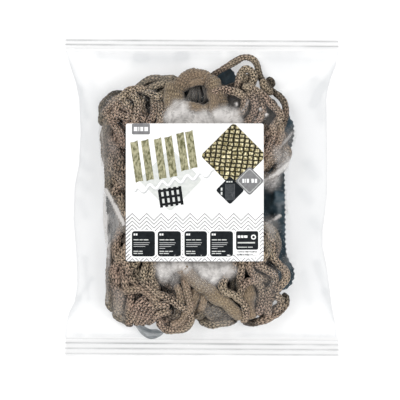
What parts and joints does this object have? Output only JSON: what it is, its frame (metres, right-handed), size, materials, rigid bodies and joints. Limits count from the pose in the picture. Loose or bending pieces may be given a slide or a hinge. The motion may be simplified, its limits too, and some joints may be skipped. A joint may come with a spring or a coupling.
{
  "type": "packed hay net",
  "caption": "Braided small-mesh hay net folded flat in a sealed clear pillow bag, with draw rope, heavy mouth cord, dark backing sheet and a square front label.",
  "frame": {"origin": "middle of the pack's outline on the surface that it rests on, under its back", "axes": "+X towards the right of the label, +Y towards the top seal, +Z out of the pack's front"},
  "size_m": [0.249, 0.29, 0.0568],
  "materials": {
    "outer_film": "clear, glossy packing film with soft creases",
    "seal_film": "two welded layers of clear film with crimp lines",
    "inner_film": "thin hazy film, wrinkled, glossy where it is tight",
    "label": "white printed label, satin",
    "dark_sheet": "dark slate film sheet, satin, pinked sides",
    "net_braid": "soft brown braided cord, herringbone face",
    "mouth_braid": "thick tan-brown braided border cord"
  },
  "bodies": {
    "root": {"outer_bag_front_film": "outer_film", "outer_bag_back_film": "outer_film", "outer_bag_back_seam": "outer_film", "outer_bag_top_seal": "seal_film", "outer_bag_bottom_seal": "seal_film", "front_label": "label", "backing_sheet": "dark_sheet", "inner_bag_front_film": "inner_film", "inner_bag_back_film": "inner_film", "inner_bag_bottom_seal": "inner_film", "net_mesh": "net_braid", "base_cord": "net_braid", "mouth_cord": "mouth_braid", "draw_rope": "net_braid", "draw_rope_knot": "net_braid"}
  },
  "joints": []
}
